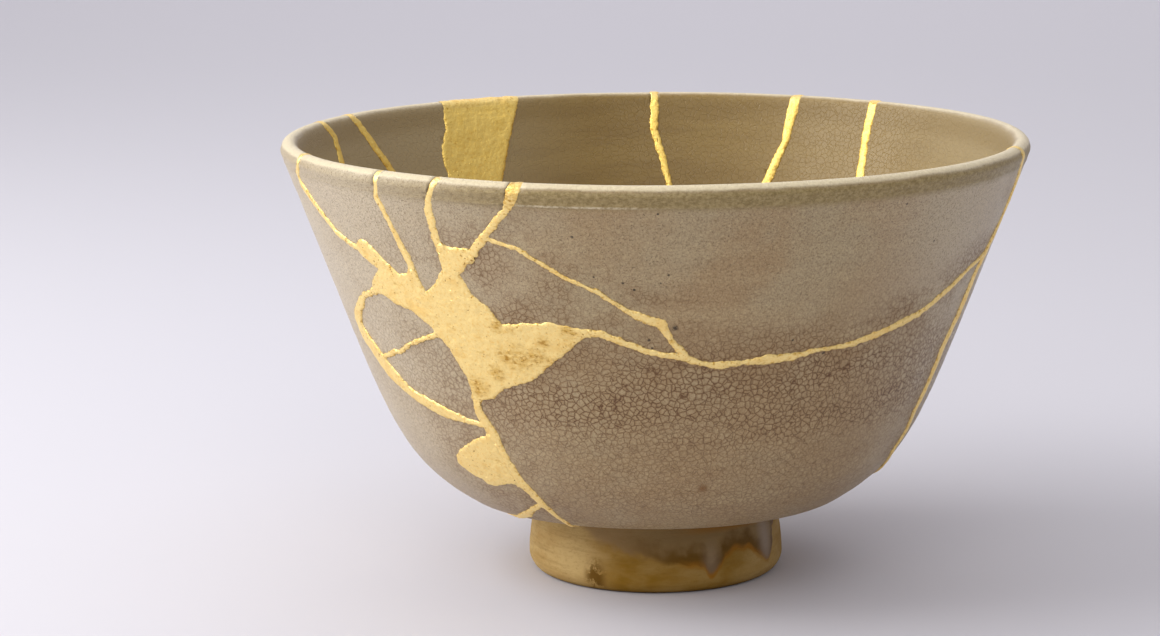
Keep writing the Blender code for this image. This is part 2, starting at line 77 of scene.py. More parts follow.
def wallLine():
    # outer side of the wall, from the foot's top edge to where the lip turns over
    lip = bowl["lip"] / 2
    slope = heading(bowl["wallAngle"])
    hip = Vector((bowl["hipRadius"], foot["height"] + bowl["hipRise"]))
    top = Vector((bowl["rimRadius"], bowl["height"])) - lip * Vector((1 - slope.y, 1 + slope.x))
    curve = interpolate_bezier(hip, hip + bowl["hipReach"] * heading(bowl["hipAngle"]),
                               top - bowl["wallReach"] * slope, top, bowl["curvePoints"])
    return [Vector((foot["topRadius"], foot["height"]))] + [Vector(p[:2]) for p in curve]


def crossSection():
    # the whole outline as (radius, height), from the middle of the recess round to the middle of the well
    ringIn = foot["radius"] - foot["ring"]
    edge = foot["edgeRound"]
    under = evenly([Vector((0, foot["recess"])), Vector((ringIn, foot["recess"]))], 2 * foot["step"])
    under += evenly([under[-1], Vector((ringIn, foot["bevel"]))], 2 * foot["step"])[1:]
    under += evenly([Vector((ringIn + foot["bevel"], 0)), Vector((foot["radius"] - edge, 0))], foot["step"])
    under += [Vector((foot["radius"] - edge, edge)) + edge * heading(a) for a in range(-80, 1, 10)]
    for i in range(1, foot["sideSteps"]):
        k = 1 - i / foot["sideSteps"]
        under.append(Vector((foot["topRadius"] + (foot["radius"] - foot["topRadius"]) * (1 - (1 - k) ** 2),
                             foot["height"] + (edge - foot["height"]) * k)))
    outside = evenly(wallLine(), bowl["outsideStep"])
    inside = []
    for i, p in enumerate(outside):
        reach = max(1, round(bowl["steady"] / bowl["outsideStep"]))
        along = (outside[min(i + reach, len(outside) - 1)] - outside[max(i - reach, 0)]).normalized()
        thin = (1 - i / (len(outside) - 1)) ** 2
        thick = bowl["lip"] + (bowl["base"] - bowl["lip"]) * thin
        inside.append(p - Vector((along.y, -along.x)) * thick)
    middle = outside[-1].lerp(inside[-1], 0.5)
    side = (outside[-1] - middle).normalized()
    up = Vector((-side.y, side.x))
    lip = [middle + bowl["lip"] / 2 * (math.cos(t) * side + math.sin(t) * up)
           for t in (math.pi * i / bowl["lipSteps"] for i in range(1, bowl["lipSteps"]))]
    inside = evenly(inside[::-1], bowl["insideStep"])
    floor = foot["recess"] + foot["floor"]
    last = inside[-1]
    inwards = [1 - i / bowl["wellSteps"] for i in range(1, bowl["wellSteps"] + 1)]
    well = [Vector((last.x * s, floor + (last.y - floor) * s ** bowl["wellCurve"])) for s in inwards]
    rows = round(bowl["fineBelowLip"] / bowl["outsideStep"])
    outside = outside[:-rows] + evenly(outside[-rows:], bowl["fineStep"])
    crest = len(under) + len(outside) + bowl["lipSteps"] // 2 - 1
    return under + outside + lip + inside + well, crest


section, crestAt = crossSection()
runs = [0.0]
for a, b in zip(section, section[1:]):
    runs.append(runs[-1] + (b - a).length)
fromCrest = [runs[crestAt] - run for run in runs]     # plus outside, minus inside


def outwardAt(i):
    along = (section[min(i + 1, len(section) - 1)] - section[max(i - 1, 0)]).normalized()
    return Vector((along.y, -along.x))


sectionTree = kdtree.KDTree(len(section))
for i, p in enumerate(section):
    sectionTree.insert((p.x, 0, p.y), i)
sectionTree.balance()


def onSection(co):
    # nearest place of the outline: its number, the place itself and the way out of the clay, all turned to co
    r = math.hypot(co.x, co.y)
    _, i, _ = sectionTree.find((r, 0, co.z))
    out = outwardAt(i)
    along = Vector((-out.y, out.x))
    there = section[i] + along * (Vector((r, co.z)) - section[i]).dot(along)
    turn = Vector((co.x / r, co.y / r)) if r > 1e-9 else Vector((0, -1))
    place, way = (Vector((turn.x * p.x, turn.y * p.x, p.y)) for p in (there, out))
    return i, place, way


def angleOf(co):
    # degrees from the front, to the right
    return math.degrees(math.atan2(co.x, -co.y))


def soft(x, low, high):
    t = min(1, max(0, (x - low) / (high - low)))
    return t * t * (3 - 2 * t)


def waves(co, size, seed):
    weaker, finer, octaves = 0.6, 2.1, 3
    return noise.fractal(Vector(co) / size + Vector((seed, -seed, 2 * seed)), weaker, finer, octaves)


print("outline ready", len(section))

# The thrown body, turned whole; the sherds are cut from it afterwards

thrown = {
    "rings": 0.00004, "ringHeight": 0.0034, "ringFlat": 0.12, "wobble": 0.00008, "wobbleSize": 0.03,
    "lipZone": 9, "groove": 0.00009, "grooveAt": 1.35, "grooveWidth": 0.28,     # mm below the lip
    "bead": 0.00013, "beadAt": 3.7, "beadWidth": 0.24,
    "beadLeast": 0.35, "beadAngle": -12, "beadFade": (8, 34),                   # degrees
    "run": 0.00016, "runFrom": 0.3, "runEdge": (-0.1, 0.3), "standing": (0.2, 1.2),     # mm
}
# lower edge of the thin glaze on the foot: degrees from the front, and mm above the table
footRun = [
    (-180, 9.2), (-140, 8.0), (-100, 10.4), (-60, 11.2), (-37.1, 10.6), (-24.5, 8.4), (-9.1, 6.8), (6.1, 5.5),
    (17, 5.0), (21.9, 4.7), (23.6, 3.4), (24.6, 2.85), (25.9, 2.75), (26.9, 3.05), (29.7, 4.2), (33, 5.8),
    (38.5, 6.9), (46, 6.6), (54, 4.6), (59.8, 3.4), (61.8, 3.25), (63.6, 3.8), (65, 5.0), (69, 8.6),
    (78, 10.4), (95, 9.4), (120, 8.0), (150, 6.4), (180, 9.2)]


def runEdge(angle):
    for (a, low), (b, high) in zip(footRun, footRun[1:]):
        if a <= angle <= b:
            return low + (high - low) * soft(angle, a, b)
    return footRun[-1][1]


def aboveRun(co):
    # how far a place on the foot is above the glaze's lower edge, in mm
    ragged = 0.35 * noise.noise(Vector(co) / 0.0022) + 0.2 * noise.noise(Vector(co) / 0.0009)
    return co.z / mm - runEdge(angleOf(co)) + ragged


def reliefAt(co, u):
    flat = thrown["ringFlat"]
    rings = waves((co.x * flat, co.y * flat, co.z), thrown["ringHeight"], 3.1)
    rise = thrown["rings"] * rings + thrown["wobble"] * noise.noise(Vector(co) / thrown["wobbleSize"])
    if 0 < u < thrown["lipZone"]:
        rise -= thrown["groove"] * math.exp(-((u - thrown["grooveAt"]) / thrown["grooveWidth"]) ** 2)
        least = thrown["beadLeast"]
        away = soft(abs(angleOf(co) - thrown["beadAngle"]), *thrown["beadFade"])
        beadHere = least + (1 - least) * (1 - away)
        rise += thrown["bead"] * beadHere * math.exp(-((u - thrown["beadAt"]) / thrown["beadWidth"]) ** 2)
    low, high = thrown["standing"]
    outerFoot = math.hypot(co.x, co.y) > foot["radius"] - foot["ring"] + mm
    if co.z < foot["height"] and outerFoot and co.z > thrown["runFrom"] * mm:
        rise += thrown["run"] * (soft(aboveRun(co), *thrown["runEdge"]) - 1)
    return rise * soft(co.z, low * mm, high * mm)


def thrownBody():
    bm = bmesh.new()
    along = bm.verts.layers.float.new("along")
    verts = []
    for p, u in zip(section, fromCrest):
        v = bm.verts.new((0, -p.x, p.y))
        v[along] = u / mm
        verts.append(v)
    edges = [bm.edges.new(pair) for pair in zip(verts, verts[1:])]
    part = 2 * math.pi / bowl["sectors"]
    bmesh.ops.spin(bm, geom=verts + edges, cent=(0, 0, 0), axis=(0, 0, 1), angle=part,
                   steps=bowl["columns"] // bowl["sectors"])
    sector = bm.verts[:] + bm.edges[:] + bm.faces[:]
    for i in range(1, bowl["sectors"]):
        made = bmesh.ops.duplicate(bm, geom=sector)["geom"]
        bmesh.ops.rotate(bm, cent=(0, 0, 0), matrix=Matrix.Rotation(part * i, 3, "Z"),
                         verts=[g for g in made if isinstance(g, bmesh.types.BMVert)])
    bmesh.ops.remove_doubles(bm, verts=bm.verts, dist=mergeWithin)
    bmesh.ops.recalc_face_normals(bm, faces=bm.faces)
    bm.normal_update()
    moves = [(v, v.normal * reliefAt(v.co, v[along])) for v in bm.verts]
    for v, move in moves:
        v.co += move
    body = bpy.data.meshes.new("thrownBody")
    bm.to_mesh(body)
    bm.free()
    return body


body = thrownBody()
print("body turned", len(body.polygons))


def mergedCopy(name):
    bm = bmesh.new()
    bm.from_mesh(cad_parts[name].data)
    bmesh.ops.remove_doubles(bm, verts=bm.verts, dist=mergeWithin)
    bm.normal_update()
    return bm


def skinFaces(bm):
    # the faces on the bowl's two sides, as against those on a break
    found = set()
    for face in bm.faces:
        middle = face.calc_center_median()
        out = onSection(middle)[2]
        atFoot = middle.z < foot["height"] or math.hypot(middle.x, middle.y) < foot["topRadius"] * 0.8
        if atFoot or abs(out.dot(face.normal)) > 0.7:
            found.add(face)
    return found


# a sherd reaches under the gold, and its cutter stands off both sides of the wall
breaks = {"closeUp": 0.0006, "beyond": 0.0016, "mostShell": 2.5, "sharp": 40, "farFromGold": 12}


def cutter(name):
    bm = mergedCopy(name)
    skin = skinFaces(bm)
    moves = []
    for v in bm.verts:
        off = sum((f.normal * f.calc_area() for f in v.link_faces if f in skin), Vector())
        push = v.normal * breaks["closeUp"] * min(v.calc_shell_factor(), breaks["mostShell"])
        moves.append((v, push + (off.normalized() * breaks["beyond"] if off.length > 0 else Vector())))
    for v, move in moves:
        v.co += move
    mesh = bpy.data.meshes.new(name + "Cutter")
    bm.to_mesh(mesh)
    bm.free()
    return mesh


def linked(name, data):
    made = bpy.data.objects.new(name, data)
    bpy.context.scene.collection.objects.link(made)
    return made


def markSurface(mesh):
    # where each point is on the bowl, for the glaze
    places = [v.co.copy() for v in mesh.vertices]
    marks = {
        "fromLip": [fromCrest[onSection(co)[0]] / mm for co in places],
        "footRun": [aboveRun(co) for co in places],
        "fromGold": [min(breaks["farFromGold"], freeTree.find(co)[2] / mm) for co in places],
    }
    for name, values in marks.items():
        mesh.attributes.new(name, "FLOAT", "POINT").data.foreach_set("value", values)


# Gold: each node's own outline, refined, rounded over and made a little uneven

gold = {
    "edge": 0.00034, "longer": 1.35, "passes": 7, "dive": 0.00010, "rise": 0.00036, "round": 0.00018,
    "lowerAtLip": 0.55, "lipZone": (0.002, 0.006), "sharp": 60,
    "ragged": 0.000272, "raggedSize": 0.0012, "fine": 0.000224, "fineSize": 0.00045, "raggedReach": 0.0005,
    "lumps": 0.00009, "lumpSize": 0.0022, "lumpFade": 0.0004, "join": 0.00055, "lap": 1.4, "sink": 0.00008,
}


def refinedGold(name):
    bm = mergedCopy(name)
    isSkin = bm.faces.layers.int.new("skin")
    for face in skinFaces(bm):
        face[isSkin] = 1
    for _ in range(gold["passes"]):
        long = [e for e in bm.edges if e.calc_length() > gold["edge"] * gold["longer"]
                and any(f[isSkin] for f in e.link_faces)]
        if not long:
            break
        bmesh.ops.subdivide_edges(bm, edges=long, cuts=1)
        bmesh.ops.triangulate(bm, faces=[f for f in bm.faces if len(f.verts) > 3], quad_method="BEAUTY")
    bm.normal_update()
    return bm


def outlineOf(bm, owner):
    # the places where the gold's two sides meet its breaks, each with the way out of the piece
    isSkin = bm.faces.layers.int["skin"]
    found = []
    for v in bm.verts:
        walls = [f for f in v.link_faces if not f[isSkin]]
        if walls and len(walls) < len(v.link_faces):
            out = sum((f.normal * f.calc_area() for f in walls), Vector())
            if out.length > 0:
                found.append((v.index, v.co.copy(), out.normalized(), owner))
    return found


def treeOf(rows):
    tree = kdtree.KDTree(max(1, len(rows)))
    for i, row in enumerate(rows):
        tree.insert(row[1], i)
    tree.balance()
    return tree


goldNames = sorted(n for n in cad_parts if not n.startswith("sherd_"))
refined = {name: refinedGold(name) for name in goldNames}
for bm in refined.values():
    bm.verts.index_update()
rims = {name: outlineOf(bm, name) for name, bm in refined.items()}
meeting = {}
for name in goldNames:
    others = treeOf([row for other in goldNames if other != name for row in rims[other]])
    for row in rims[name]:
        there, _, gap = others.find(row[1])
        if gap < gold["join"]:
            meeting[name, row[0]] = (there - row[1]) * gold["lap"]
freeRim = [row for name in goldNames for row in rims[name] if (name, row[0]) not in meeting]
freeTree = treeOf(freeRim)
print("gold refined", sum(len(bm.faces) for bm in refined.values()))


def shapeGold(name):
    bm = refined[name]
    isSkin = bm.faces.layers.int["skin"]
    depth = bm.verts.layers.float.new("fromEdge")
    lip = bm.verts.layers.float.new("fromLip")
    outline = {row[0]: row for row in rims[name]}
    moved = []
    for v in bm.verts:
        if not any(f[isSkin] for f in v.link_faces):
            continue
        i, place, out = onSection(v.co)
        _, k, gap = freeTree.find(v.co)
        away = freeRim[k][2]
        away = (away - out * away.dot(out)).normalized()
        ragged = gold["ragged"] * noise.noise(v.co / gold["raggedSize"])
        ragged += gold["fine"] * noise.noise(v.co / gold["fineSize"])
        onEdge = v.index in outline and (name, v.index) not in meeting
        lap = meeting.get((name, v.index), Vector())
        depth0 = 0 if onEdge else gap
        overLip = 1 - gold["lowerAtLip"] * (1 - soft(abs(fromCrest[i]), *gold["lipZone"]))
        height = -gold["dive"] + gold["rise"] * overLip * (1 - math.exp(-depth0 / gold["round"]))
        height += gold["lumps"] * waves(v.co, gold["lumpSize"], 1.7) * min(1, depth0 / gold["lumpFade"])
        if (name, v.index) in meeting:
            height -= gold["sink"]
        v[depth] = depth0 / mm
        v[lip] = fromCrest[i] / mm
        sideways = away * ragged * math.exp(-depth0 / gold["raggedReach"])
        moved.append((v, place + out * height + sideways + lap))
    for v, co in moved:
        v.co = co
    mesh = bpy.data.meshes.new(name + "_lacquer")
    bm.to_mesh(mesh)
    bm.free()
    mesh.shade_smooth()
    mesh.set_sharp_from_angle(angle=math.radians(gold["sharp"]))
    return linked(name + "_lacquer", mesh)


golds = {name: shapeGold(name) for name in goldNames}
print("gold shaped", sum(len(o.data.polygons) for o in golds.values()))


sherdNames = sorted(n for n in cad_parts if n.startswith("sherd_"))
sherds = {}
for name in sherdNames:
    knife = linked(name + "Cutter", cutter(name))
    piece = linked(name + "_glazed", body.copy())
    cut = piece.modifiers.new("break", "BOOLEAN")
    cut.operation = "INTERSECT"
    cut.solver = "MANIFOLD"
    cut.object = knife
    graph = bpy.context.evaluated_depsgraph_get()
    mesh = bpy.data.meshes.new_from_object(piece.evaluated_get(graph))
    piece.modifiers.clear()
    bpy.data.objects.remove(knife)
    bm = bmesh.new()
    bm.from_mesh(mesh)
    bmesh.ops.remove_doubles(bm, verts=bm.verts, dist=mergeCut)
    bmesh.ops.triangulate(bm, faces=[f for f in bm.faces if len(f.verts) > 4])
    bm.to_mesh(mesh)
    bm.free()
    mesh.shade_smooth()
    mesh.set_sharp_from_angle(angle=math.radians(breaks["sharp"]))
    markSurface(mesh)
    piece.data = mesh
    sherds[name] = piece
    print("sherd", name, len(mesh.polygons))

# Materials


class Nodes:
    # short calls for wiring a material
    def __init__(self, name):
        self.made = bpy.data.materials.new(name)
        self.made.use_nodes = True
        self.tree = self.made.node_tree
        self.shader = self.tree.nodes["Principled BSDF"]

    def put(self, socket, value):
        if isinstance(value, bpy.types.NodeSocket):
            self.tree.links.new(value, socket)
        else:
            socket.default_value = value

    def node(self, kind, *inputs, **settings):
        made = self.tree.nodes.new("ShaderNode" + kind)
        for key, value in settings.items():
            setattr(made, key, value)
        for socket, value in zip(made.inputs, inputs):
            self.put(socket, value)
        return made

    def math(self, operation, *values):
        return self.node("Math", *values, operation=operation).outputs[0]

    def times(self, first, *others):
        for value in others:
            first = self.math("MULTIPLY", first, value)
        return first

    def swing(self, value, size):
        # noise moved to lie evenly round nought
        return self.times(self.math("SUBTRACT", value, 0.5), size)

    def ramp(self, value, low, high, start=0.0, end=1.0):
        made = self.node("MapRange", interpolation_type="SMOOTHSTEP")
        for key, v in (("Value", value), ("From Min", low), ("From Max", high),
                       ("To Min", start), ("To Max", end)):
            self.put(made.inputs[key], v)
        return made.outputs[0]

    def band(self, value, start, full, fading, end):
        return self.times(self.ramp(value, start, full), self.ramp(value, end, fading))

    def noise(self, where, scale, detail=3.0, rough=0.55, distortion=0.0):
        made = self.node("TexNoise")
        for key, v in (("Vector", where), ("Scale", scale), ("Detail", detail), ("Roughness", rough),
                       ("Distortion", distortion)):
            self.put(made.inputs[key], v)
        return made.outputs[0]

    def mix(self, share, a, b):
        made = self.node("Mix", data_type="RGBA")
        self.put(made.inputs[0], share)
        self.put(made.inputs[6], (*a, 1) if isinstance(a, tuple) else a)
        self.put(made.inputs[7], (*b, 1) if isinstance(b, tuple) else b)
        return made.outputs[2]

    def bump(self, height, strength, distance):
        made = self.node("Bump")
        for key, v in (("Strength", strength), ("Distance", distance), ("Height", height)):
            self.put(made.inputs[key], v)
        return made.outputs[0]

    def attribute(self, name):
        return self.node("Attribute", attribute_name=name).outputs["Fac"]

    def scaled(self, scale):
        # object coordinates in mm, stretched by scale
        where = self.node("TexCoord").outputs["Object"]
        made = self.node("Mapping", where)
        made.inputs["Scale"].default_value = [1000 * s for s in scale]
        return made.outputs[0]


# In the looks below, bare pairs are lengths in mm: where a thing starts and where it is full. Foursomes go on
# with where it fades and where it ends.

# the side colour is painted light: a paler sheen towards the wall's left and right sides
glaze = {
    "grey": (0.415, 0.322, 0.185), "warm": (0.380, 0.258, 0.128), "pale": (0.56, 0.44, 0.245),
    "side": (0.60, 0.51, 0.365), "grain": (0.19, 0.120, 0.050), "fleck": (0.10, 0.065, 0.038),
    "stain": (0.245, 0.142, 0.055), "seamShade": (0.050, 0.024, 0.008), "speck": (0.022, 0.011, 0.005),
    "rust": (0.22, 0.11, 0.035), "rustAt": (7.5, -41.6, 23.1), "rustRadius": 0.7,
    "toLeft": (-8, -50), "toRight": (26, 54), "lower": (14, 34), "fewFlecks": (30, 14),
    "seamEdge": (0.30, 0.02),
    "roughness": 0.37, "uneven": 0.24, "shine": 0.38, "bump": 0.7, "depth": 0.00010,
}
crackle = {
    "colour": (0.115, 0.048, 0.014), "cell": 1.02, "bendScale": 0.9, "bend": 0.7,
    "line": (0.010, 0.070), "halo": (0.03, 0.30), "lineShare": 0.90, "haloShare": 0.60,
    "starts": (21, 34), "fades": (50, 40), "toLeft": (-44, -16), "everywhere": 0.07,
    "besideGold": (8.5, 0.4), "besideLip": (2, 14), "besideLeft": (-46, -20), "inside": 0.10,
}
lipLook = {
    "crest": (0.80, 0.69, 0.46), "crestAt": (-1.9, -0.8, 0.6, 1.15), "ragged": 0.6,
    "olive": (0.215, 0.150, 0.048), "olivePale": (0.38, 0.285, 0.125), "oliveAt": (0.7, 1.5, 3.2, 4.9),
    "oliveLeft": (-50, -12), "bead": (0.66, 0.56, 0.39), "beadAt": (3.45, 3.65, 3.76, 3.98),
    "beadAcross": (-22, -19, -9, 4), "insideFrom": (-1.0, -2.2),
}
# the side colour is painted light: the inside made paler towards its left and right
inside = {
    "plain": (0.260, 0.168, 0.042), "streak": (0.215, 0.133, 0.030), "warm": (0.325, 0.222, 0.080),
    "dark": (0.200, 0.122, 0.026), "side": (0.40, 0.310, 0.170), "fleck": (0.12, 0.075, 0.03),
    "warmFrom": (-6, 40), "toLeft": (-8, -40), "toRight": (40, 58), "underLip": (-7.5, -4.5, -3.4, -1.8),
}
# iron specks in the glaze: x, y, z and radius in mm
ironSpecks = [
    (3.1, -54.4, 51.4, 0.42), (-0.9, -53.8, 49.3, 0.24), (-0.4, -53.3, 48.0, 0.20), (26.1, -45.4, 45.7, 0.26),
    (21.2, -49.0, 48.4, 0.20), (-3.1, -56.8, 57.7, 0.22), (-4.8, -57.1, 58.8, 0.20), (0.9, -57.3, 58.8, 0.16),
    (-12.4, -58.8, 66.1, 0.22), (2.1, -57.8, 60.1, 0.18), (-9.2, -56.9, 59.7, 0.16), (0.5, -61.6, 70.0, 0.18),
    (43.5, -39.2, 62.2, 0.20), (38.6, -47.6, 69.3, 0.20), (-30.0, -44.0, 20.0, 0.18), (14.0, 52.0, 44.0, 0.30),
    (-38.0, 36.0, 50.0, 0.26), (51.0, 14.0, 46.0, 0.24)]


def nearSpot(m, where, spot, radius, blur):
    # 1 inside a small ball, 0 outside
    made = m.node("VectorMath", where, tuple(spot), operation="DISTANCE")
    return m.ramp(made.outputs["Value"], radius * (1 - blur), radius * (1 + blur), 1, 0)


def glazeFields(m):
    # what the glaze depends on: place, distance below the lip and from the gold, and noise from broad to fine
    mmAt = m.scaled((1, 1, 1))
    u = m.attribute("fromLip")
    ragged = m.swing(m.noise(mmAt, 0.20, 2.0), lipLook["ragged"])
    return {
        "mm": mmAt, "x": m.node("SeparateXYZ", mmAt).outputs[0], "u": u, "lip": m.math("ADD", u, ragged),
        "fromGold": m.attribute("fromGold"), "clouds": m.noise(mmAt, 0.055, 4.0),
        "blots": m.noise(mmAt, 0.13, 4.0), "grain": m.noise(mmAt, 2.8, 4.0, 0.8),
        "speckle": m.noise(mmAt, 4.2, 2.0, 0.8),
    }


def wallColour(m, at):
    x, u, grain = at["x"], at["u"], at["grain"]
    bands = m.noise(m.scaled((0.10, 0.10, 1.0)), 0.24, 4.0)
    colour = m.mix(m.ramp(at["clouds"], 0.36, 0.66), glaze["grey"], glaze["warm"])
    colour = m.mix(m.ramp(bands, 0.46, 0.74, 0, 0.40), colour, glaze["pale"])
    lower = m.times(m.ramp(u, *glaze["lower"]), m.ramp(at["blots"], 0.30, 0.70, 0.20, 0.80))
    colour = m.mix(lower, colour, glaze["warm"])
    # painted light: the wall is paler towards its left and right sides, a painted sheen where the lamps graze
    # it
    paintedSideLight = m.math("MAXIMUM", m.ramp(x, *glaze["toLeft"], 0, 0.85), m.ramp(x, *glaze["toRight"], 0, 0.80))
    colour = m.mix(paintedSideLight, colour, glaze["side"])
    colour = m.mix(m.ramp(grain, 0.50, 0.64, 0, 0.62), colour, glaze["grain"])
    # painted glints: pale flecks where the fine grain is low
    colour = m.mix(m.ramp(grain, 0.47, 0.36, 0, 0.50), colour, glaze["pale"])
    dark = m.times(m.ramp(at["speckle"], 0.58, 0.68), m.ramp(u, *glaze["fewFlecks"], 0.25, 0.80))
    return m.mix(dark, colour, glaze["fleck"])


def crackleOver(m, at, colour):
    # finest and darkest low on the wall, faint near the lip, dark again beside the gold
    bend = m.node("TexNoise", at["mm"])
    bend.inputs["Scale"].default_value = crackle["bendScale"]
    centred = m.node("VectorMath", bend.outputs["Color"], (0.5, 0.5, 0.5), operation="SUBTRACT")
    pull = m.node("VectorMath", centred.outputs[0], operation="SCALE")
    pull.inputs["Scale"].default_value = crackle["bend"]
    shifted = m.node("VectorMath", at["mm"], pull.outputs[0], operation="ADD")
    cells = m.node("TexVoronoi", shifted.outputs[0], feature="DISTANCE_TO_EDGE")
    cells.inputs["Scale"].default_value = crackle["cell"]
    line = m.ramp(cells.outputs["Distance"], *crackle["line"], 1, 0)
    halo = m.ramp(cells.outputs["Distance"], *crackle["halo"], 1, 0)
    rows = m.noise(m.scaled((0.22, 0.22, 1.0)), 0.16, 3.0)
    strong = m.times(m.ramp(at["u"], *crackle["starts"]), m.ramp(at["u"], *crackle["fades"], 0.40, 1),
                     m.ramp(rows, 0.32, 0.64, 0.45, 1), m.ramp(at["x"], *crackle["toLeft"], 0.18, 1))
    beside = m.times(m.ramp(at["fromGold"], *crackle["besideGold"]),
                     m.ramp(at["blots"], 0.36, 0.62, 0.05, 0.85),
                     m.ramp(at["x"], *crackle["besideLeft"], 0.25, 1))
    strong = m.math("MAXIMUM", m.math("ADD", strong, crackle["everywhere"]),
                    m.times(beside, m.ramp(at["u"], *crackle["besideLip"])))
    colour = m.mix(m.times(halo, strong, crackle["haloShare"]), colour, glaze["stain"])
    colour = m.mix(m.times(line, strong, crackle["lineShare"]), colour, crackle["colour"])
    return m.mix(m.times(beside, 0.30), colour, glaze["stain"]), line


def lipOver(m, at, colour):
    # the olive band with its bead, then the pale crest
    x = at["x"]
    mottle = m.noise(m.scaled((0.8, 0.8, 1.2)), 1.7, 5.0, 0.75)
    oliveColour = m.mix(m.ramp(mottle, 0.36, 0.66), lipLook["olive"], lipLook["olivePale"])
    olive = m.times(m.band(at["lip"], *lipLook["oliveAt"]), m.ramp(x, *lipLook["oliveLeft"], 0.25, 0.93))
    colour = m.mix(olive, colour, oliveColour)
    bead = m.times(m.band(at["u"], *lipLook["beadAt"]), m.band(x, *lipLook["beadAcross"]),
                   m.ramp(mottle, 0.40, 0.58, 0.10, 0.75))
    colour = m.mix(bead, colour, lipLook["bead"])
    crest = m.times(m.band(at["lip"], *lipLook["crestAt"]), m.ramp(mottle, 0.30, 0.70, 0.90, 0.62))
    return m.mix(crest, colour, lipLook["crest"])


def insideColour(m, at, line):
    x = at["x"]
    streaks = m.noise(m.scaled((0.12, 0.12, 1.3)), 0.34, 4.0)
    colour = m.mix(m.ramp(streaks, 0.34, 0.68), inside["plain"], inside["streak"])
    warm = m.times(m.ramp(x, *inside["warmFrom"]), m.ramp(at["clouds"], 0.25, 0.60, 0.35, 1.0), 0.70)
    colour = m.mix(warm, colour, inside["warm"])
    # painted light: the inside is paler towards its left and right sides
    paintedSideLight = m.math("MAXIMUM", m.ramp(x, *inside["toLeft"], 0, 0.90), m.ramp(x, *inside["toRight"], 0, 0.80))
    colour = m.mix(paintedSideLight, colour, inside["side"])
    colour = m.mix(m.ramp(at["speckle"], 0.60, 0.76, 0, 0.35), colour, inside["fleck"])
    colour = m.mix(m.times(line, crackle["inside"]), colour, crackle["colour"])
    return m.mix(m.times(m.band(at["u"], *inside["underLip"]), 0.35), colour, inside["dark"])


def glazeMaterial():
    m = Nodes("crackledGlaze")
    at = glazeFields(m)
    grain = at["grain"]
    colour, line = crackleOver(m, at, wallColour(m, at))
    colour = lipOver(m, at, colour)
    colour = m.mix(m.ramp(at["lip"], *lipLook["insideFrom"]), colour, insideColour(m, at, line))
    for *spot, radius in ironSpecks:
        share = m.times(nearSpot(m, at["mm"], spot, radius, 0.5), m.ramp(grain, 0.34, 0.52, 0.45, 0.92))
        colour = m.mix(share, colour, glaze["speck"])
    rust = nearSpot(m, at["mm"], glaze["rustAt"], glaze["rustRadius"], 0.9)
    colour = m.mix(rust, colour, glaze["rust"])
    # a dark hairline where the lacquer ends
    colour = m.mix(m.ramp(at["fromGold"], *glaze["seamEdge"], 0, 0.8), colour, glaze["seamShade"])
    m.put(m.shader.inputs["Base Color"], colour)
    rough = m.math("ADD", m.times(at["blots"], glaze["uneven"]), glaze["roughness"] - glaze["uneven"] / 2)
    m.put(m.shader.inputs["Roughness"], rough)
    m.shader.inputs["Specular IOR Level"].default_value = glaze["shine"]
    height = m.math("SUBTRACT", m.times(grain, 0.6), m.times(line, 0.5))
    height = m.math("ADD", height, m.times(at["speckle"], 0.3))
    m.put(m.shader.inputs["Normal"], m.bump(height, glaze["bump"], glaze["depth"]))
    return m.made


footLook = {
    "clay": (0.445, 0.278, 0.090), "clayPale": (0.55, 0.382, 0.155), "clayDark": (0.20, 0.108, 0.014),
    "clayShaded": (0.230, 0.115, 0.004), "shadedFrom": (-14, -4), "shadedTo": (11, 20), "standing": (0.9, 0.2),
    "run": (0.135, 0.064, 0.003), "runThin": (0.265, 0.168, 0.062), "thinFrom": (0.8, 4.6), "unevenRun": 5.0,
    "runPale": (0.38, 0.25, 0.11), "paleFrom": (4, -10), "blurred": (-2, 6), "rust": (0.31, 0.128, 0.007),
    "rustAt": (-0.8, -0.1, 0.1, 1.0), "rustFrom": (2, 8), "rustTo": (17, 20), "topRust": (9.6, 10.6),
    "topRustFrom": (2, 9), "drip": (0.36, 0.285, 0.22), "leftDrip": (9.2, -19.2, 2.0),
    "rightDrip": (18.3, -11.0, 2.1), "dripRadius": 1.5, "stain": (0.125, 0.055, 0.001),
    "stainAt": (-9.9, -19.0, 1.5), "stainRadius": 1.7, "shine": 0.14, "bump": 0.6, "depth": 0.00012,
}


def clayColour(m, x, z, grain, turned):
    cloud = m.noise(m.scaled((0.5, 0.5, 1.2)), 0.20, 4.0)
    clay = m.mix(m.ramp(cloud, 0.34, 0.68), footLook["clay"], footLook["clayPale"])
    # painted shade: darker, more saturated clay across the foot's front, under the bowl's overhang, fading out
    # towards the lit left and partly towards the right
    deep = m.times(m.ramp(x, *footLook["shadedFrom"]), m.ramp(x, *footLook["shadedTo"], 1, 0.45),
                   m.ramp(cloud, 0.30, 0.66, 1.0, 0.65))
    clay = m.mix(deep, clay, footLook["clayShaded"])
    clay = m.mix(m.ramp(turned, 0.48, 0.70, 0, 0.26), clay, footLook["clayDark"])
    clay = m.mix(m.ramp(grain, 0.48, 0.74, 0, 0.35), clay, footLook["clayDark"])
    # painted shade: darker towards the table
    return m.mix(m.ramp(z, *footLook["standing"], 0, 0.70), clay, footLook["clayDark"])


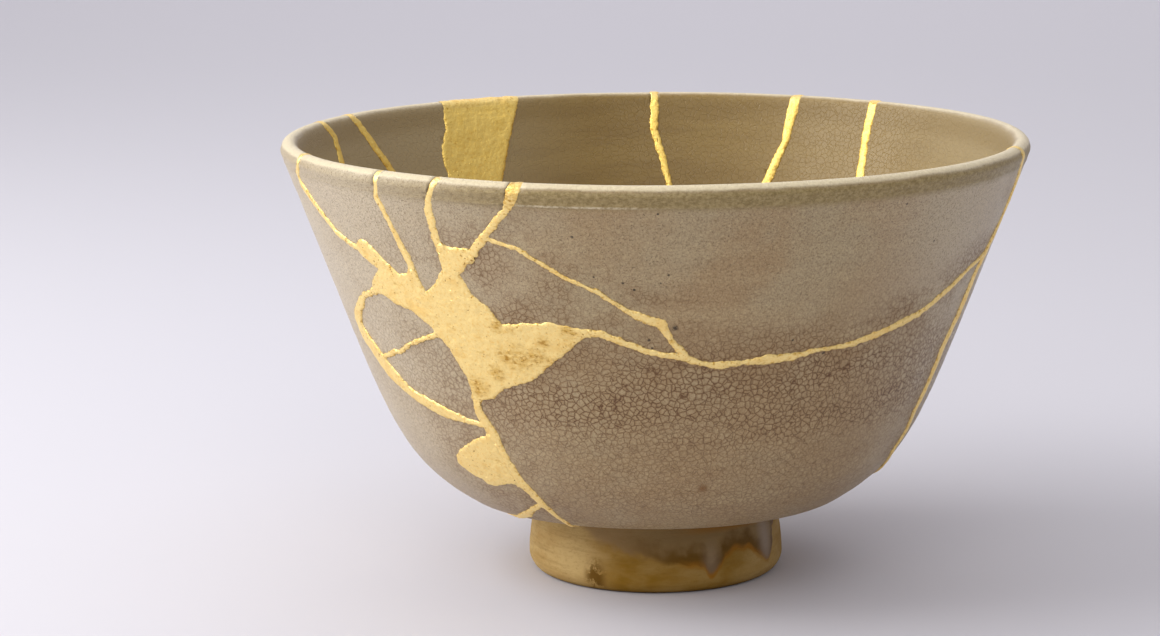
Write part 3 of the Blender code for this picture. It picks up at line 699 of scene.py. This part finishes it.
def runColour(m, mmAt, x, run):
    runAt = m.math("ADD", run, m.swing(m.noise(mmAt, 0.45, 4.0), footLook["unevenRun"]))
    colour = m.mix(m.ramp(runAt, *footLook["thinFrom"]), footLook["run"], footLook["runThin"])
    colour = m.mix(m.ramp(x, *footLook["paleFrom"], 0, 0.75), colour, footLook["runPale"])
    # the drips are greyer, and tall: their z is measured in a flattened space
    left = nearSpot(m, m.scaled((1, 1, 0.45)), footLook["leftDrip"], footLook["dripRadius"], 0.8)
    right = nearSpot(m, m.scaled((1, 1, 0.30)), footLook["rightDrip"], footLook["dripRadius"], 0.9)
    return m.mix(m.times(m.math("MAXIMUM", m.times(left, 0.42), right), 0.70), colour, footLook["drip"])


def footMaterial():
    # buff clay below a thin run of glaze with a rusty edge
    m = Nodes("footClay")
    mmAt = m.scaled((1, 1, 1))
    run = m.attribute("footRun")
    x, _, z = m.node("SeparateXYZ", mmAt).outputs
    grain = m.noise(m.scaled((0.7, 0.7, 1.3)), 1.6, 5.0, 0.7)
    turned = m.noise(m.scaled((0.10, 0.10, 1.2)), 0.9, 4.0, 0.65)
    blend = m.ramp(x, *footLook["blurred"], 0.9, 0.12)
    uneven = m.swing(m.noise(mmAt, 0.8, 4.0), m.times(blend, 2.0))
    onRun = m.ramp(m.math("ADD", run, uneven), m.times(blend, -1), blend)
    colour = m.mix(onRun, clayColour(m, x, z, grain, turned), runColour(m, mmAt, x, run))
    rust = m.times(m.band(run, *footLook["rustAt"]), m.ramp(m.noise(mmAt, 0.30, 2.0), 0.35, 0.60, 0.5, 0.95),
                   m.ramp(x, *footLook["rustFrom"], 0.05, 1), m.ramp(x, *footLook["rustTo"], 1, 0.35))
    colour = m.mix(rust, colour, footLook["rust"])
    topLine = m.times(m.ramp(z, *footLook["topRust"]), m.ramp(x, *footLook["topRustFrom"]), 0.6)
    colour = m.mix(topLine, colour, footLook["rust"])
    stain = m.times(nearSpot(m, m.scaled((1, 1, 0.62)), footLook["stainAt"], footLook["stainRadius"], 0.6),
                    m.ramp(m.noise(mmAt, 0.6, 4.0, 0.7), 0.40, 0.52), 0.90)
    colour = m.mix(stain, colour, footLook["stain"])
    m.put(m.shader.inputs["Base Color"], colour)
    m.put(m.shader.inputs["Roughness"], m.ramp(run, -0.15, 0.15, 0.75, 0.42))
    m.shader.inputs["Specular IOR Level"].default_value = footLook["shine"]
    height = m.math("ADD", grain, turned)
    m.put(m.shader.inputs["Normal"], m.bump(height, footLook["bump"], footLook["depth"]))
    return m.made


# the dark edge colour is painted shade along the lacquer's edge
leaf = {
    "bright": (1.0, 0.770, 0.320), "deep": (0.93, 0.625, 0.190), "worn": (0.41, 0.190, 0.015),
    "scuff": (0.66, 0.385, 0.055), "inside": (0.98, 0.69, 0.13), "insideFrom": (-1, -3),
    "rim": (0.20, 0.095, 0.015), "rimAt": (0.02, 0.17), "nearEdge": (0.7, 0.2),
    "roughness": 0.50, "uneven": 0.22, "metallic": 0.85, "bump": 0.75, "depth": 0.00020,
}
# darker, rubbed places on the fills: x, y, z and radius in mm
rubbed = [
    (-20.8, -48.0, 45.6, 1.8), (-23.0, -47.0, 45.7, 1.2), (-18.2, -49.2, 46.0, 1.2), (-15.8, -49.6, 44.6, 1.1),
    (-17.0, -50.4, 48.6, 1.0), (-24.6, -48.6, 51.0, 1.0), (-13.0, -52.7, 50.8, 1.3), (-21.9, -58.5, 72.5, 1.6),
    (-24.8, -45.6, 42.4, 1.2), (-27.6, -41.9, 39.8, 1.5), (-22.6, -50.5, 49.8, 0.9)]


def goldMaterial():
    m = Nodes("goldLacquer")
    mmAt = m.scaled((1, 1, 1))
    edge = m.attribute("fromEdge")
    broad = m.noise(mmAt, 0.30, 4.0)
    fine = m.noise(mmAt, 2.0, 5.0, 0.75)
    patches = m.noise(mmAt, 0.42, 3.0, 0.6, 0.4)
    flecks = m.noise(m.scaled((0.8, 0.8, 1.0)), 2.0, 1.0)
    streaks = m.noise(m.scaled((0.45, 0.45, 1.4)), 1.1, 4.0, 0.7, 0.5)
    colour = m.mix(m.ramp(broad, 0.50, 0.70, 0, 0.6), leaf["bright"], leaf["deep"])
    colour = m.mix(m.ramp(fine, 0.50, 0.64, 0, 0.75), colour, leaf["deep"])
    flecked = m.times(m.ramp(flecks, 0.66, 0.74), m.ramp(patches, 0.44, 0.58, 0.20, 1.0), 0.85)
    colour = m.mix(flecked, colour, leaf["worn"])
    scuffed = m.times(m.ramp(streaks, 0.50, 0.64), m.ramp(patches, 0.54, 0.68), 0.60)
    colour = m.mix(scuffed, colour, leaf["scuff"])
    spots = 0.0
    for *spot, radius in rubbed:
        spots = m.math("MAXIMUM", spots, nearSpot(m, mmAt, spot, radius, 0.95))
    worn = m.times(spots, m.ramp(streaks, 0.38, 0.58, 0.20, 1.0))
    colour = m.mix(m.times(worn, 0.80), colour, leaf["scuff"])
    colour = m.mix(m.times(worn, m.ramp(flecks, 0.50, 0.60, 0, 0.75)), colour, leaf["worn"])
    colour = m.mix(m.ramp(m.attribute("fromLip"), *leaf["insideFrom"], 0, 0.62), colour, leaf["inside"])
    nearEdge = m.times(m.ramp(edge, *leaf["nearEdge"]), m.ramp(flecks, 0.55, 0.63), 0.55)
    colour = m.mix(nearEdge, colour, leaf["scuff"])
    # painted shade: a dark line along the lacquer's edge
    edgeShadeLine = m.ramp(m.math("ADD", edge, m.swing(fine, 0.4)), *leaf["rimAt"], 1, 0)
    colour = m.mix(m.times(edgeShadeLine, 0.75), colour, leaf["rim"])
    m.put(m.shader.inputs["Base Color"], colour)
    m.shader.inputs["Metallic"].default_value = leaf["metallic"]
    rough = m.math("ADD", m.times(fine, leaf["uneven"]), leaf["roughness"] - leaf["uneven"] / 2)
    m.put(m.shader.inputs["Roughness"], rough)
    dimples = m.noise(mmAt, 1.5, 2.0)
    height = m.math("ADD", dimples, m.times(broad, 0.8))
    m.put(m.shader.inputs["Normal"], m.bump(height, leaf["bump"], leaf["depth"]))
    return m.made


glazed = glazeMaterial()
gilded = goldMaterial()
for group, material, slot in ((sherds, glazed, "glazed_stoneware"), (golds, gilded, "gold_lacquer")):
    for name, piece in group.items():
        piece.data.materials.clear()
        piece.data.materials.append(material)
        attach(piece, "root")
        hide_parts(name)
footBase = sherds["sherd_base"].data
footBase.materials.append(footMaterial())
for face in footBase.polygons:
    middle = face.center
    if middle.z < foot["height"] and math.hypot(middle.x, middle.y) < foot["radius"] + mm:
        face.material_index = 1
print("materials on")

# Floor, light and camera

studio = {
    "floor": (0.645, 0.63, 0.675), "floorRoughness": 0.9, "back": 1.4, "front": 1.2, "width": 4.0,
    "sweep": 0.5, "sweepSteps": 12, "tall": 1.6,
    "world": (0.86, 0.85, 0.89), "worldStrength": 0.53,
}


def sweepFloor():
    bm = bmesh.new()
    line = [Vector((0, -studio["front"], 0)), Vector((0, studio["back"], 0))]
    sweep = studio["sweep"]
    for i in range(1, studio["sweepSteps"] + 1):
        t = math.pi / 2 * i / studio["sweepSteps"]
        line.append(Vector((0, studio["back"] + sweep * math.sin(t), sweep * (1 - math.cos(t)))))
    line.append(line[-1] + Vector((0, 0, studio["tall"])))
    verts = [bm.verts.new(p - Vector((studio["width"] / 2, 0, 0))) for p in line]
    edges = [bm.edges.new(pair) for pair in zip(verts, verts[1:])]
    made = bmesh.ops.extrude_edge_only(bm, edges=edges)["geom"]
    bmesh.ops.translate(bm, verts=[g for g in made if isinstance(g, bmesh.types.BMVert)],
                        vec=(studio["width"], 0, 0))
    bmesh.ops.recalc_face_normals(bm, faces=bm.faces)
    mesh = bpy.data.meshes.new("studioFloor")
    bm.to_mesh(mesh)
    bm.free()
    mesh.shade_smooth()
    floor = linked("studioFloor", mesh)
    paint = bpy.data.materials.new("studioPaper")
    paint.use_nodes = True
    shader = paint.node_tree.nodes["Principled BSDF"]
    shader.inputs["Base Color"].default_value = (*studio["floor"], 1)
    shader.inputs["Roughness"].default_value = studio["floorRoughness"]
    mesh.materials.append(paint)


def softLight(name, at, to, size, watts, colour):
    lamp = bpy.data.lights.new(name, "AREA")
    lamp.shape = "RECTANGLE"
    lamp.size, lamp.size_y = size
    lamp.energy = watts
    lamp.color = colour
    made = linked(name, lamp)
    made.location = at
    made.rotation_euler = (Vector(to) - Vector(at)).to_track_quat("-Z", "Y").to_euler()


sweepFloor()
softLight("keyFromLeft", (-0.58, -0.06, 0.42), (0, 0, 0.03), (0.6, 0.6), 5.0, (1.0, 1.0, 1.0))
softLight("softTop", (0.10, 0.10, 0.95), (0, 0, 0.03), (0.9, 0.9), 1.6, (1.0, 0.99, 0.98))
softLight("softFront", (-0.10, -1.0, 0.75), (0, 0, 0.04), (0.9, 0.5), 3.2, (1.0, 0.99, 0.98))
softLight("backPaper", (0, 1.35, 1.0), (0, 1.35, 0), (1.6, 0.8), 5.5, (1.0, 0.99, 1.0))
world = bpy.data.worlds.new("studioAir")
world.use_nodes = True
world.node_tree.nodes["Background"].inputs[0].default_value = (*studio["world"], 1)
world.node_tree.nodes["Background"].inputs[1].default_value = studio["worldStrength"]
bpy.context.scene.world = world
bpy.context.scene.view_settings.view_transform = "Standard"

view = {
    "at": (0, -0.5245, 0.1412), "yaw": -1.386, "down": 10.63, "roll": -0.378,      # degrees
    "focal": 3146, "picture": 1160, "sensor": 36,                                  # pixels, pixels, mm
}


def placeCamera():
    yaw, down, roll = (math.radians(view[k]) for k in ("yaw", "down", "roll"))
    ahead = Vector((math.sin(yaw) * math.cos(down), math.cos(yaw) * math.cos(down), -math.sin(down)))
    right = ahead.cross(Vector((0, 0, 1))).normalized()
    up = right.cross(ahead)
    across = right * math.cos(roll) + up * math.sin(roll)
    upright = up * math.cos(roll) - right * math.sin(roll)
    lens = bpy.data.cameras.new("photoCamera")
    lens.sensor_width = view["sensor"]
    lens.sensor_fit = "HORIZONTAL"
    lens.lens = view["sensor"] * view["focal"] / view["picture"]
    camera = linked("photoCamera", lens)
    turned = Matrix((across, upright, -ahead)).transposed().to_4x4()
    camera.matrix_world = Matrix.Translation(view["at"]) @ turned
    bpy.context.scene.camera = camera


placeCamera()
print("studio set")
